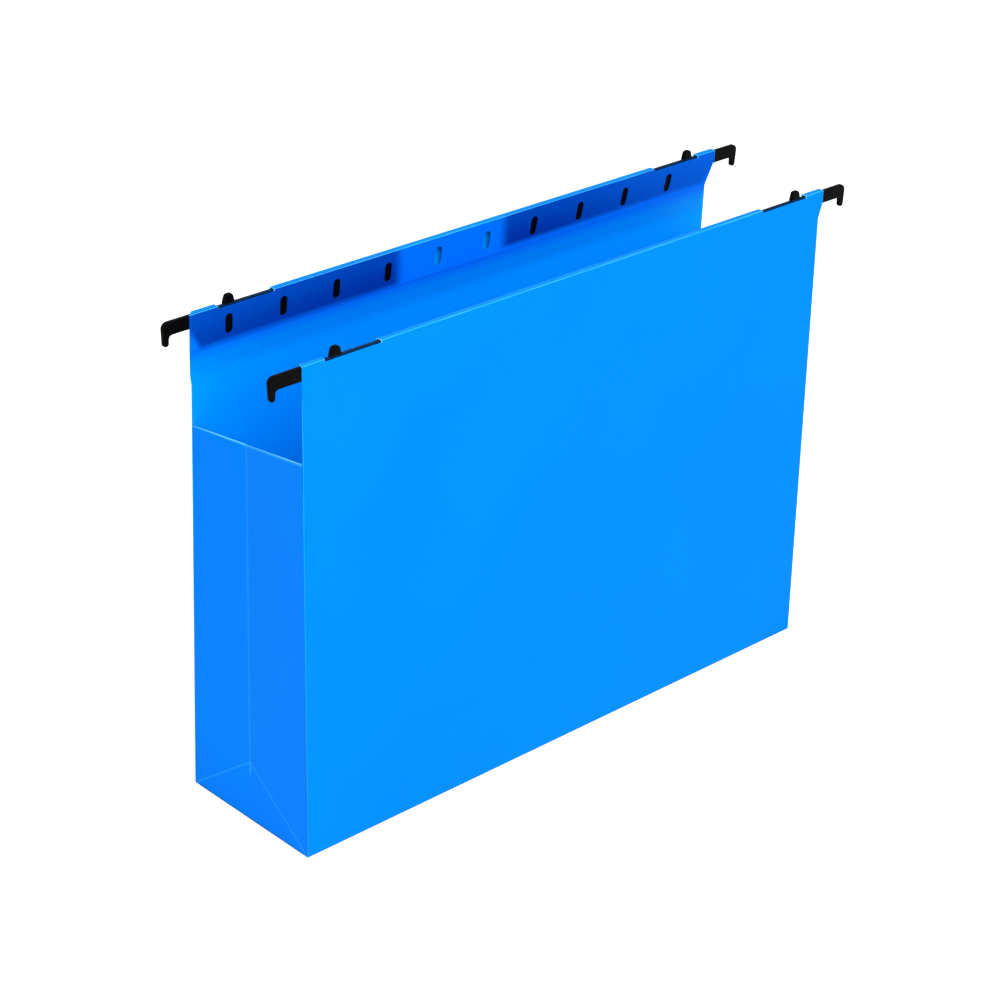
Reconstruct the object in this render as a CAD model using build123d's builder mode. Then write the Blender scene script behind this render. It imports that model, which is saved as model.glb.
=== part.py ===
from build123d import *
import os
from math import asin, atan2, cos, hypot, sin, tan

# Sheet body: all sizes in millimetres, origin on the floor under the middle of the hems, +Y to the rear
sheet = 0.5
body_width = 313.0
base_depth = 80.0
mouth_depth = 72.6
panel_height = 233.3
crease_gap = 0.2

# Hem along the top of each panel, which ends flush on the left and overhangs on the right
hem_overhang = 2.4
strip_turn = 1.6
shoulder_square = 6.5
shoulder_slope = 6.8
flap_slant_height = 7.0
weld_height = 2.0
flap_square = 5.0
flap_taper = 5.9
bend_radius = 0.7

# Windows in the top strip and slots for index tabs in the inner flap
window_length = 30.0
window_inset = 12.0
window_drop = 1.5
slot_length = 9.0
slot_width = 3.6
slot_end_inset = 24.95
slot_count = 10
slot_drop = 9.3
slot_row_shift = 7.2

# Gussets, their bonded flanges and the corner webs at their feet
gusset_rear_drop = 52.8
gusset_front_drop = 43.8
flange_width = 12.0
flange_drop = 12.0
lip_setback = 2.0
web_foot = 1.2
web_headroom = 3.0

# Runners that slide in the hems
runner_thickness = 2.0
channel_play = 0.2
top_play = 0.2
hook_reach = 16.5
hook_tip_width = 3.4
hook_tip_radius = 1.6
hook_tip_drop = 4.8
hook_corner_radius = 2.4
hook_throat_radius = 1.8
neck_height = 6.2
plate_height = 16.0
plate_inset = 1.0
plate_slope = 6.0
plate_length = 123.0
plate_corner_radius = 2.0
nub_inset = 6.5
nub_foot_width = 5.6
nub_top_width = 3.6
nub_top_radius = 1.7
nub_height = 3.6
nub_thickness = 2.4

# Sizes that follow from those above
lean = asin((base_depth - mouth_depth) / 2 / panel_height)
body_half = body_width / 2
hem_half = (body_width + hem_overhang) / 2
body_middle = -hem_overhang / 2
hem_depth = 2 * sheet + 2 * channel_play + runner_thickness
wall_top = panel_height - sheet
runner_top = wall_top - top_play
flap_bend = runner_top - plate_height - channel_play
weld_top = flap_bend - flap_slant_height
flap_foot = weld_top - weld_height
strip_foot = wall_top - strip_turn
bend_rise = sheet * tan(atan2(hem_depth - 2 * sheet, flap_slant_height) / 2)
flap_bend_back = flap_bend + bend_rise
flap_edge = hem_half - flap_taper
flange_inner = 2 * sheet
lip_end = base_depth / 2 - flange_inner - lip_setback
gusset_rear_top = panel_height - gusset_rear_drop
gusset_front_top = panel_height - gusset_front_drop
gusset_middle_top = (gusset_rear_top + gusset_front_top) / 2
gusset_edge = flange_inner + crease_gap
web_apex = base_depth / 2 + web_headroom
window_outer = hem_half - window_inset
slot_pitch = 2 * (hem_half - slot_end_inset) / (slot_count - 1)
hook_end = hem_half + hook_reach
plate_outer = hem_half - plate_inset
plate_inner = plate_outer - plate_length
cut_margin = plate_height + base_depth / 2


def panel_face(y_sign):
    """Outer face of a panel: x runs across it, y up it and z into the folder."""
    return Plane(
        origin=(0, y_sign * base_depth / 2, 0),
        x_dir=(y_sign, 0, 0),
        z_dir=(0, -y_sign * cos(lean), -sin(lean)),
    )


def section_point(y_sign, inward, up):
    """A point of the YZ section, from its depth into the folder and its height up the panel."""
    y = base_depth / 2 - inward * cos(lean) - up * sin(lean)
    return (y_sign * y, up * cos(lean) - inward * sin(lean))


def point_at_level(y_sign, inward, z):
    """A point of the YZ section, from its depth into the folder and its height above the floor."""
    return section_point(y_sign, inward, (z + inward * sin(lean)) / cos(lean))


def window_outlines(y_sign):
    """Outlines of the two windows, one over each runner's nub, on the panel's outer face."""
    with BuildSketch(panel_face(y_sign), mode=Mode.PRIVATE) as windows:
        with Locations((window_outer - window_length / 2, panel_height)):
            Rectangle(window_length, 2 * window_drop)
        mirror(about=Plane.YZ)
    return windows.sketch


def build_panel(y_sign):
    """A leaning sheet, wider along its hem, with a lip at its foot that the base is creased to."""
    right = y_sign
    body_edge = hem_half - hem_overhang
    with BuildPart() as panel:
        with BuildSketch(Plane.YZ):
            with BuildLine():
                Polyline(
                    (y_sign * base_depth / 2, 0),
                    (y_sign * lip_end, 0),
                    (y_sign * lip_end, sheet),
                    point_at_level(y_sign, sheet, sheet),
                    section_point(y_sign, sheet, wall_top),
                    section_point(y_sign, 0, wall_top),
                    close=True,
                )
            make_face()
        extrude(amount=hem_half, both=True)
        with BuildSketch(panel_face(y_sign)):
            with BuildLine():
                Polyline(
                    (right * body_edge, -cut_margin),
                    (right * body_edge, panel_height - shoulder_square - shoulder_slope),
                    (right * hem_half, panel_height - shoulder_square),
                    (right * (hem_half + cut_margin), panel_height - shoulder_square),
                    (right * (hem_half + cut_margin), -cut_margin),
                    close=True,
                )
            make_face()
        extrude(amount=cut_margin, both=True, mode=Mode.SUBTRACT)
        extrude(window_outlines(y_sign), amount=hem_depth, mode=Mode.SUBTRACT)
    return panel.part


def build_hem_strip(y_sign):
    """The strip folded over the top of the hem, with the two windows cut through it."""
    with BuildPart() as strip:
        with BuildSketch(Plane.YZ):
            with BuildLine():
                Polyline(
                    section_point(y_sign, 0, wall_top),
                    section_point(y_sign, 0, panel_height),
                    section_point(y_sign, hem_depth, panel_height),
                    section_point(y_sign, hem_depth, strip_foot),
                    section_point(y_sign, hem_depth - sheet, strip_foot),
                    section_point(y_sign, hem_depth - sheet, wall_top),
                    close=True,
                )
            make_face()
        extrude(amount=hem_half, both=True)
        top_edges = strip.edges().filter_by(Axis.X).sort_by(Axis.Z)[-2:]
        fillet(top_edges, radius=min(bend_radius, 0.9 * sheet))
        extrude(window_outlines(y_sign), amount=hem_depth, mode=Mode.SUBTRACT)
    return strip.part


def build_hem_flap(y_sign):
    """The hem's inner flap, which covers the runners and has a row of slots for index tabs."""
    right = y_sign
    square_foot = panel_height - flap_square
    with BuildPart() as flap:
        with BuildSketch(panel_face(y_sign).offset(hem_depth - sheet)):
            with BuildLine():
                Polyline(
                    (right * -hem_half, strip_foot),
                    (right * -hem_half, flap_bend_back),
                    (right * flap_edge, flap_bend_back),
                    (right * hem_half, square_foot),
                    (right * hem_half, strip_foot),
                    close=True,
                )
            make_face()
            with Locations((-right * slot_row_shift, panel_height - slot_drop)):
                with GridLocations(slot_pitch, 0, slot_count, 1):
                    SlotOverall(slot_length, slot_width, rotation=90, mode=Mode.SUBTRACT)
        extrude(amount=sheet)
    return flap.part


def build_hem_seam(y_sign):
    """The flap's foot, bent back to the panel and welded to it."""
    with BuildPart() as seam:
        with BuildSketch(Plane.YZ):
            with BuildLine():
                Polyline(
                    section_point(y_sign, hem_depth, flap_bend_back),
                    section_point(y_sign, hem_depth, flap_bend),
                    section_point(y_sign, flange_inner, weld_top),
                    section_point(y_sign, flange_inner, flap_foot),
                    section_point(y_sign, sheet, flap_foot),
                    section_point(y_sign, sheet, weld_top + bend_rise),
                    section_point(y_sign, hem_depth - sheet, flap_bend_back),
                    close=True,
                )
            make_face()
        extrude(amount=hem_half, both=True)
        split(bisect_by=Plane.YZ.offset(flap_edge), keep=Keep.BOTTOM)
    return seam.part


def build_base_half(y_sign):
    """Half of the box bottom, from the panel's lip to the crease along the middle."""
    half_width = lip_end - crease_gap - crease_gap / 2
    with BuildPart() as half:
        with BuildSketch(Plane.XY):
            with Locations((body_middle, y_sign * (crease_gap / 2 + half_width / 2))):
                Rectangle(body_width, half_width)
        extrude(amount=sheet)
    return half.part


def side_sheet(x_sign):
    """Plane of a gusset's lower-x face, so that a sheet thickness along +X ends flush outside."""
    return Plane.YZ.offset(body_middle + x_sign * body_half - max(x_sign, 0) * sheet)


def build_gusset_half(x_sign, y_sign, edge_top):
    """Half of a side gusset, between the panel's edge and the crease down the middle."""
    with BuildPart() as half:
        with BuildSketch(side_sheet(x_sign)):
            with BuildLine():
                Polyline(
                    point_at_level(y_sign, gusset_edge, sheet + web_foot),
                    (y_sign * crease_gap / 2, web_apex),
                    (y_sign * crease_gap / 2, gusset_middle_top),
                    point_at_level(y_sign, gusset_edge, edge_top),
                    close=True,
                )
            make_face()
        extrude(amount=sheet)
    return half.part


def build_corner_web(x_sign, y_sign):
    """The triangle between a gusset half's slanting foot and the side edge of the base."""
    gusset_corner, gusset_foot = point_at_level(1, gusset_edge, sheet + web_foot)
    rise = (web_apex - gusset_foot) / (gusset_corner - crease_gap / 2)
    seam_drop = crease_gap * hypot(1, rise)
    web_floor = sheet + crease_gap
    web_corner = lip_end - crease_gap
    corner_top = gusset_foot + (gusset_corner - web_corner) * rise - seam_drop
    with BuildPart() as web:
        with BuildSketch(side_sheet(x_sign)):
            with BuildLine():
                Polyline(
                    (y_sign * crease_gap / 2, web_floor),
                    (y_sign * web_corner, web_floor),
                    (y_sign * web_corner, corner_top),
                    (y_sign * crease_gap / 2, web_apex - seam_drop),
                    close=True,
                )
            make_face()
        extrude(amount=sheet)
    return web.part


def build_gusset_flange(x_sign, y_sign, edge_top):
    """The gusset's turned edge, bonded to the inside of the panel."""
    flange_foot = sheet + crease_gap
    flange_run = (edge_top - flange_drop) / cos(lean) - flange_foot
    flange_middle = y_sign * (body_middle + x_sign * (body_half - flange_width / 2))
    with BuildPart() as flange:
        with BuildSketch(panel_face(y_sign).offset(sheet)):
            with Locations((flange_middle, flange_foot + flange_run / 2)):
                Rectangle(flange_width, flange_run)
        extrude(amount=sheet)
    return flange.part


def build_runner(x_local, y_sign):
    """A moulded runner: a plate in the hem, a neck and hook past its end and a nub on top."""
    neck_under = runner_top - neck_height
    hook_foot = neck_under - hook_tip_drop
    plate_under = runner_top - plate_height
    nub_middle = window_outer - nub_inset
    nub_top = panel_height + nub_height
    plate_face = panel_face(y_sign).offset(sheet + channel_play)
    nub_face = plate_face.offset((runner_thickness - nub_thickness) / 2)
    with BuildPart() as runner:
        with BuildSketch(plate_face):
            with BuildLine():
                FilletPolyline(
                    (x_local * plate_inner, runner_top),
                    (x_local * hook_end, runner_top),
                    (x_local * hook_end, hook_foot),
                    (x_local * (hook_end - hook_tip_width), hook_foot),
                    (x_local * (hook_end - hook_tip_width), neck_under),
                    (x_local * plate_outer, neck_under),
                    (x_local * (plate_outer - plate_slope), plate_under),
                    (x_local * plate_inner, plate_under),
                    radius=[
                        plate_corner_radius,
                        hook_corner_radius,
                        hook_tip_radius,
                        hook_tip_radius,
                        hook_throat_radius,
                        plate_corner_radius,
                        plate_corner_radius,
                        plate_corner_radius,
                    ],
                    close=True,
                )
            make_face()
            with Locations((x_local * nub_middle, (panel_height + runner_top) / 2)):
                Rectangle(nub_foot_width, panel_height - runner_top)
        extrude(amount=runner_thickness)
        with BuildSketch(nub_face):
            with BuildLine():
                FilletPolyline(
                    (x_local * (nub_middle - nub_foot_width / 2), panel_height),
                    (x_local * (nub_middle - nub_top_width / 2), nub_top),
                    (x_local * (nub_middle + nub_top_width / 2), nub_top),
                    (x_local * (nub_middle + nub_foot_width / 2), panel_height),
                    radius=[0, nub_top_radius, nub_top_radius, 0],
                    close=True,
                )
            make_face()
        extrude(amount=nub_thickness)
    return runner.part


os.makedirs("parts", exist_ok=True)
pieces = {}
for side_name, y_sign, edge_top in (("rear", 1, gusset_rear_top), ("front", -1, gusset_front_top)):
    pieces[f"{side_name}_panel"] = build_panel(y_sign)
    pieces[f"{side_name}_hem_strip"] = build_hem_strip(y_sign)
    pieces[f"{side_name}_hem_flap"] = build_hem_flap(y_sign)
    pieces[f"{side_name}_hem_seam"] = build_hem_seam(y_sign)
    pieces[f"base_{side_name}_half"] = build_base_half(y_sign)
    for hand_name, x_sign in (("left", -1), ("right", 1)):
        corner_name = f"{side_name}_{hand_name}"
        x_local = x_sign * y_sign
        pieces[f"gusset_{corner_name}"] = build_gusset_half(x_sign, y_sign, edge_top)
        pieces[f"corner_web_{corner_name}"] = build_corner_web(x_sign, y_sign)
        pieces[f"gusset_flange_{corner_name}"] = build_gusset_flange(x_sign, y_sign, edge_top)
        pieces[f"runner_{corner_name}"] = build_runner(x_local, y_sign)

for name, piece in pieces.items():
    piece.label = name
    export_step(piece, f"parts/{name}.step")
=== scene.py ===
"""Dresses the hanging file folder: folded sheet, slotted hems, creased gussets and moulded runners."""

import logging
import math
from dataclasses import dataclass
from enum import Enum
from typing import Any, Callable, Mapping, Optional, Sequence, Union

import bmesh
import bpy
from mathutils import Matrix, Vector


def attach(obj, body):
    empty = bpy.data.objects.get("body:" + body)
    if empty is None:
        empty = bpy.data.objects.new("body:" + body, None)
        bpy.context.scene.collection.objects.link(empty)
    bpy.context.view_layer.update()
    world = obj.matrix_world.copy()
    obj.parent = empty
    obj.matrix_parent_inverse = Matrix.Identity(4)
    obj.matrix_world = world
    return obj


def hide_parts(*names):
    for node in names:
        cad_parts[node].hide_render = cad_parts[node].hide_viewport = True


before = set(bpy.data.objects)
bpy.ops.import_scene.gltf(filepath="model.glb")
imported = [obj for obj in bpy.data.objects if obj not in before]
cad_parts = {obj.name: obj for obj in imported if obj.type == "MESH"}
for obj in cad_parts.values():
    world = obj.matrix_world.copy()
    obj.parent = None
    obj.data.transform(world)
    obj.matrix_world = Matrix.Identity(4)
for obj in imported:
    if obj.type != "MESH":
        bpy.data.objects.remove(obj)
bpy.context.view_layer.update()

LOG = logging.getLogger("hanging_folder")
MM = 0.001

Pair = tuple[float, float]
Triple = tuple[float, float, float]
Colour = Triple
Edges = frozenset[int]
Piece = bpy.types.Object
Finish = bpy.types.Material
Placer = Callable[[float, float, float], Vector]
Value = Union["Wire", float]
Axes = Sequence["Wire"]

EVEN: Triple = (1.0, 1.0, 1.0)
WHITE: Colour = (1.0, 1.0, 1.0)
BLACK: Colour = (0.0, 0.0, 0.0)
MIX_FACTOR, MIX_LOW, MIX_HIGH, MIX_RESULT = 0, 6, 7, 2


class CadWord(Enum):
    """A choice whose names are words of the CAD names."""

    @property
    def label(self) -> str:
        """The word that the CAD names use."""
        return self.name.lower()


class Side(CadWord):
    """The rear or front half of the folder, with the sign of its Y."""

    REAR = 1
    FRONT = -1

    @property
    def body(self) -> str:
        """The CAD body that the panel of this side belongs to."""
        return f"{self.label}_side"


class Hand(CadWord):
    """The left or right end of the folder, with the sign of its X."""

    LEFT = -1
    RIGHT = 1


class Skin(Enum):
    """Material slots of a sheet piece."""

    FACE = 0
    CUT_EDGE = 1
    FOLD = 2


@dataclass(frozen=True)
class Mottle:
    """A noise over a surface: features in each millimetre, finer layers and stretch on each axis."""

    scale: float
    detail: float
    stretch: Triple = EVEN


class Draw(Enum):
    """The way that a sheet was drawn, with the fine lines that this leaves along it."""

    UP = Mottle(0.9, 3.0, (1.0, 1.0, 0.04))
    ALONG = Mottle(0.9, 3.0, (0.04, 1.0, 1.0))


@dataclass(frozen=True)
class FolderSizes:
    """Sizes of the folder in millimetres, as the CAD source has them."""

    sheet: float = 0.5
    body_width: float = 313.0
    base_depth: float = 80.0
    mouth_depth: float = 72.6
    panel_height: float = 233.3
    crease_gap: float = 0.2
    hem_overhang: float = 2.4
    hem_depth: float = 3.4
    shoulder_square: float = 6.5
    shoulder_slope: float = 6.8
    flap_bend: float = 216.4
    flap_square: float = 5.0
    flap_taper: float = 5.9
    lip_end: float = 37.0
    gusset_rear_top: float = 180.5
    gusset_front_top: float = 189.5
    web_apex: float = 43.0
    web_foot: float = 1.2
    flange_width: float = 12.0
    flange_drop: float = 12.0

    @property
    def lean(self) -> float:
        """Angle by which each panel leans inwards."""
        return math.asin((self.base_depth - self.mouth_depth) / 2 / self.panel_height)

    @property
    def body_half(self) -> float:
        """Half the width of the box."""
        return self.body_width / 2

    @property
    def body_middle(self) -> float:
        """Place of the box's middle along the hems, which overhang it on the right only."""
        return -self.hem_overhang / 2

    @property
    def body_edge(self) -> float:
        """Place of the box's right-hand edge."""
        return self.body_middle + self.body_half

    @property
    def hem_half(self) -> float:
        """Half the length of a hem."""
        return (self.body_width + self.hem_overhang) / 2

    def section(self, inward: float, up: float) -> Pair:
        """Point of the cross-section of a side.

        Args:
            inward: Depth into the folder from the panel's outer face.
            up: Height along the panel.

        Returns:
            Distance from the folder's middle plane, and height.
        """
        away = self.base_depth / 2 - inward * math.cos(self.lean) - up * math.sin(self.lean)
        return away, up * math.cos(self.lean) - inward * math.sin(self.lean)

    def section_at(self, inward: float, level: float) -> Pair:
        """Point of the cross-section at a height above the floor."""
        return self.section(inward, (level + inward * math.sin(self.lean)) / math.cos(self.lean))


SIZES = FolderSizes()


class Wire:
    """A shader socket that takes part in Python expressions."""

    def __init__(self, board: "Board", socket: bpy.types.NodeSocket) -> None:
        """Keeps the socket and the board that it is on."""
        self.board = board
        self.socket = socket

    def _math(self, operation: str, *values: Value) -> "Wire":
        """Adds a Math node for an operation on the values."""
        node = self.board.node("ShaderNodeMath", {"operation": operation}, dict(enumerate(values)))
        return Wire(self.board, node.outputs[0])

    def __add__(self, other: Value) -> "Wire":
        """Sum."""
        return self._math("ADD", self, other)

    __radd__ = __add__

    def __sub__(self, other: Value) -> "Wire":
        """Difference."""
        return self._math("SUBTRACT", self, other)

    def __rsub__(self, other: Value) -> "Wire":
        """Difference, from the right."""
        return self._math("SUBTRACT", other, self)

    def __mul__(self, other: Value) -> "Wire":
        """Product."""
        return self._math("MULTIPLY", self, other)

    __rmul__ = __mul__

    def __abs__(self) -> "Wire":
        """Size without sign."""
        return self._math("ABSOLUTE", self)

    def least(self, other: Value) -> "Wire":
        """The lesser of two values."""
        return self._math("MINIMUM", self, other)

    def most(self, other: Value) -> "Wire":
        """The greater of two values."""
        return self._math("MAXIMUM", self, other)

    def rise(self, low: float, high: float) -> "Wire":
        """Smooth step.

        Args:
            low: Value at which the step starts.
            high: Value at which the step is full.

        Returns:
            A wire from 0 to 1.
        """
        sockets = {"Value": self, "From Min": low, "From Max": high}
        node = self.board.node("ShaderNodeMapRange", {"interpolation_type": "SMOOTHSTEP"}, sockets)
        return Wire(self.board, node.outputs["Result"])


class Board:
    """The node tree of a material or a world, with one way to add a node."""

    def __init__(self, owner: Union[Finish, bpy.types.World]) -> None:
        """Empties the owner's node tree.

        Args:
            owner: The material or the world.
        """
        self.owner = owner
        owner.use_nodes = True
        self.tree = owner.node_tree
        self.tree.nodes.clear()

    @classmethod
    def for_material(cls, name: str) -> "Board":
        """Starts a material of that name."""
        return cls(bpy.data.materials.new(name))

    def node(
        self,
        kind: str,
        settings: Optional[Mapping[str, Any]] = None,
        sockets: Optional[Mapping[Union[str, int], Any]] = None,
    ) -> bpy.types.Node:
        """Adds a node.

        Args:
            kind: Blender's type name of the node.
            settings: Properties, which are set first.
            sockets: Values or wires for the inputs, by name or number.

        Returns:
            The new node.
        """
        made = self.tree.nodes.new(kind)
        for name, setting in (settings or {}).items():
            setattr(made, name, setting)
        for key, value in (sockets or {}).items():
            if isinstance(value, Wire):
                self.tree.links.new(value.socket, made.inputs[key])
            elif isinstance(value, tuple) and made.inputs[key].type == "RGBA":
                made.inputs[key].default_value = (*value, 1.0)
            else:
                made.inputs[key].default_value = value
        return made

    def out(self, made: bpy.types.Node, output: Union[str, int] = 0) -> Wire:
        """An output of a node as a wire."""
        return Wire(self, made.outputs[output])

    def place(self, carrier: Optional[Piece] = None) -> Wire:
        """Position in millimetres.

        Args:
            carrier: Piece whose space it is in, or None for the piece's own.

        Returns:
            The position.
        """
        coordinates = self.node("ShaderNodeTexCoord", {"object": carrier})
        sockets = {0: self.out(coordinates, "Object"), 1: (1 / MM, 1 / MM, 1 / MM)}
        return self.out(self.node("ShaderNodeVectorMath", {"operation": "MULTIPLY"}, sockets))

    def axes(self, place: Wire) -> list[Wire]:
        """The three coordinates of a position."""
        split = self.node("ShaderNodeSeparateXYZ", None, {0: place})
        return [self.out(split, index) for index in range(3)]

    def noise(self, place: Wire, mottle: Mottle) -> Wire:
        """Noise about 0, from -0.5 to 0.5.

        Args:
            place: Position in millimetres.
            mottle: Kind of noise.

        Returns:
            The noise.
        """
        sockets = {0: place, 1: mottle.stretch}
        stretched = self.node("ShaderNodeVectorMath", {"operation": "MULTIPLY"}, sockets)
        sockets = {"Vector": self.out(stretched), "Scale": mottle.scale, "Detail": mottle.detail}
        return self.out(self.node("ShaderNodeTexNoise", None, sockets), "Fac") - 0.5

    def blend(self, factor: Value, low: Any, high: Any, way: str = "MIX") -> Wire:
        """Mixes two colours.

        Args:
            factor: Share of the second colour.
            low: First colour.
            high: Second colour, or the tint of a MULTIPLY.
            way: Blender's name of the way to mix.

        Returns:
            The mixed colour.
        """
        settings = {"data_type": "RGBA", "blend_type": way, "clamp_factor": True}
        sockets = {MIX_FACTOR: factor, MIX_LOW: low, MIX_HIGH: high}
        return self.out(self.node("ShaderNodeMix", settings, sockets), MIX_RESULT)

    def bump(self, height: Wire, depth: float) -> Wire:
        """Bump from a height in units of the depth, which is in millimetres."""
        sockets = {"Height": height, "Distance": depth * MM, "Strength": 1.0}
        return self.out(self.node("ShaderNodeBump", None, sockets))

    def seen(self) -> Wire:
        """Tells the rays that show the surroundings.

        Returns:
            1 for rays from the camera, from reflections and through clear pieces, otherwise 0.
        """
        path = self.node("ShaderNodeLightPath")
        mirrored = self.out(path, "Is Glossy Ray").most(self.out(path, "Is Transmission Ray"))
        return self.out(path, "Is Camera Ray").most(mirrored)

    def close(self, shader: bpy.types.Node) -> Union[Finish, bpy.types.World]:
        """Joins a shader to the output.

        Args:
            shader: The shader's node.

        Returns:
            The material or the world.
        """
        kind = "Material" if isinstance(self.owner, Finish) else "World"
        self.node(f"ShaderNodeOutput{kind}", None, {"Surface": self.out(shader)})
        return self.owner

    def plastic(
        self, colour: Wire, rough: Wire, gloss: float, normal: Wire, sheen: Colour = WHITE
    ) -> Finish:
        """Closes the board with a plastic.

        Args:
            colour: Base colour.
            rough: Roughness.
            gloss: Specular level.
            normal: Normal.
            sheen: Colour of the gloss.

        Returns:
            The material.
        """
        sockets = {
            "Base Color": colour,
            "Roughness": rough,
            "Specular IOR Level": gloss,
            "Specular Tint": sheen,
            "Normal": normal,
        }
        return self.close(self.node("ShaderNodeBsdfPrincipled", None, sockets))


def panel_depth(axes: Axes) -> Wire:
    """Depth of a point into the folder from the outer face of the nearer panel."""
    return (SIZES.base_depth / 2 - abs(axes[1])) * math.cos(SIZES.lean) - axes[2] * math.sin(SIZES.lean)


@dataclass(frozen=True)
class InnerLightPaint:
    """Painted light on a panel's inner face, for light through the sheet; it ends on the hem's seam and below
    the top fold.
    """

    tint: Colour = (1.0, 1.42, 1.0)
    sheet_share: Pair = (0.5, 0.8)
    seam_clear: float = 0.2
    top_clear: Pair = (2.0, 1.0)

    def mask(self, axes: Axes) -> Wire:
        """Share of the painted inner light at a point.

        Args:
            axes: Coordinates of the point in millimetres.

        Returns:
            1 on the inner face, fading up the hem's seam to 0 on the flap, and 0 outside.
        """
        depth = panel_depth(axes)
        seam = 1.0 - depth.rise(SIZES.hem_depth / 2, SIZES.hem_depth - self.seam_clear)
        inner = depth.rise(*(share * SIZES.sheet for share in self.sheet_share)) * seam
        return inner * (1.0 - axes[2].rise(*(SIZES.panel_height - gap for gap in self.top_clear)))


INNER_LIGHT_PAINT = InnerLightPaint()


@dataclass(frozen=True)
class Crease:
    """A pale stripe with a shallow groove in the plane of the gussets: a scored line, and along the gusset's
    top a painted highlight.
    """

    start: Pair
    end: Pair
    width: float
    strength: float
    core: float = 0.15

    def mask(self, axes: Axes) -> Wire:
        """Strength of the crease at a point.

        Args:
            axes: Coordinates of the point in millimetres.

        Returns:
            A wire from 0 to the crease's strength.
        """
        run = Vector(self.end) - Vector(self.start)
        length = run.length
        run.normalize()
        back, up = axes[1] - self.start[0], axes[2] - self.start[1]
        along = back * run.x + up * run.y
        off = abs(back * run.y - up * run.x)
        ends = along.rise(-self.width, 0.0) * (1.0 - along.rise(length, length + self.width))
        return (1.0 - off.rise(self.core * self.width, self.width)) * ends * self.strength


@dataclass(frozen=True)
class GussetScores:
    """Scored lines of a gusset down the middle and round the corner triangles, and a painted highlight along
    its top.
    """

    apex: float = 30.0
    foot: float = 39.0
    foot_level: float = 0.5
    nick: Pair = (24.0, 29.0)
    middle_top: float = 190.0
    edge: float = 38.0
    middle_tilt: float = 0.05
    web_tilt: float = 0.04

    def creases(self) -> list[Crease]:
        """Lays out the lines.

        Returns:
            The lines, in the plane of the gussets.
        """
        rear, front = (self.edge, SIZES.gusset_rear_top), (-self.edge, SIZES.gusset_front_top)
        lines = [
            Crease((0.0, self.apex), (0.0, self.middle_top), width=0.8, strength=0.6),
            Crease((0.0, self.nick[0]), (0.0, self.nick[1]), width=1.3, strength=0.7),
            # Painted highlight: a pale line along the gusset's cut top edge, not a score.
            Crease(rear, front, width=1.2, strength=1.8),
        ]
        for side in Side:
            corner = (side.value * self.foot, self.foot_level)
            lines.append(Crease(corner, (0.0, self.apex), width=0.7, strength=0.7))
        return lines

    def mask(self, axes: Axes) -> Wire:
        """Strength of all the lines at a point."""
        return sum((crease.mask(axes) for crease in self.creases()), 0.0)

    def hollow(self, axes: Axes) -> Wire:
        """Height of a gusset's slight inward fold, which its corner webs take back.

        Args:
            axes: Coordinates of the point in millimetres.

        Returns:
            The height in millimetres.
        """
        away = abs(axes[1])
        below = (self.apex - away * (self.apex / self.foot) - axes[2]).most(0.0)
        return away * self.middle_tilt + below * self.web_tilt


@dataclass(frozen=True)
class SheetFinish:
    """Extruded plastic sheet: fine matt grain, faint drawing lines and paler creases."""

    colour: Colour = (0.0, 0.243, 1.0)
    deep: Colour = (0.0, 0.212, 0.97)
    pale: Colour = (0.03, 0.45, 1.0)
    sheen: Colour = (0.0, 0.4, 1.0)
    gloss: float = 0.02
    roughness: float = 0.44
    cloud: Mottle = Mottle(0.012, 1.0)
    grain: Mottle = Mottle(2.6, 2.0)
    scuff: Mottle = Mottle(0.11, 4.0, (0.5, 0.5, 4.0))
    scuff_edge: Pair = (0.13, 0.2)
    middle_tone: float = 0.5
    cloud_tone: float = 0.9
    streak_tone: float = 0.35
    score_tone: float = 0.55
    scuff_rough: float = 0.07
    streak_rough: float = 0.08
    grain_rough: float = 0.1
    streak_height: float = 0.6
    grain_depth: float = 0.012
    score_depth: float = 0.06

    def make(
        self,
        name: str,
        draw: Draw = Draw.UP,
        paint_inner_light: bool = False,
        scores: Optional[GussetScores] = None,
        shade: Optional["ShowThrough"] = None,
    ) -> Finish:
        """Makes the material.

        Args:
            name: Name of the material.
            draw: Way that the sheet was drawn.
            paint_inner_light: Whether to paint light on the inner face of a panel, standing in for light
                through the sheet.
            scores: Scored lines to draw.
            shade: Painted shade and light of a hem's inside.

        Returns:
            The material.
        """
        board = Board.for_material(name)
        place = board.place()
        axes = board.axes(place)
        cloud, grain = board.noise(place, self.cloud), board.noise(place, self.grain)
        streak = board.noise(place, draw.value)
        scuff = board.noise(place, self.scuff).rise(*self.scuff_edge)
        tone = cloud * self.cloud_tone + streak * self.streak_tone + self.middle_tone
        colour = board.blend(tone.least(1.0).most(0.0), self.deep, self.colour)
        # Painted light: the inner faces are paler in green, standing in for light that comes through the
        # sheet.
        if paint_inner_light:
            colour = board.blend(INNER_LIGHT_PAINT.mask(axes), colour, INNER_LIGHT_PAINT.tint, "MULTIPLY")
        # Painted shade and light of the hem's inside.
        if shade is not None:
            colour = shade.tint(board, axes, colour)
        height = grain + streak * self.streak_height
        if scores is not None:
            score = scores.mask(axes)
            # Scores are drawn paler; the line along the gusset's top is a painted highlight.
            colour = board.blend(score.least(1.0) * self.score_tone, colour, self.pale)
            height = height - score * (self.score_depth / self.grain_depth)
            height = height + scores.hollow(axes) * (1 / self.grain_depth)
        rough = scuff * self.scuff_rough + streak * self.streak_rough
        rough = rough + grain * self.grain_rough + self.roughness
        return board.plastic(colour, rough, self.gloss, board.bump(height, self.grain_depth), self.sheen)


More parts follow.
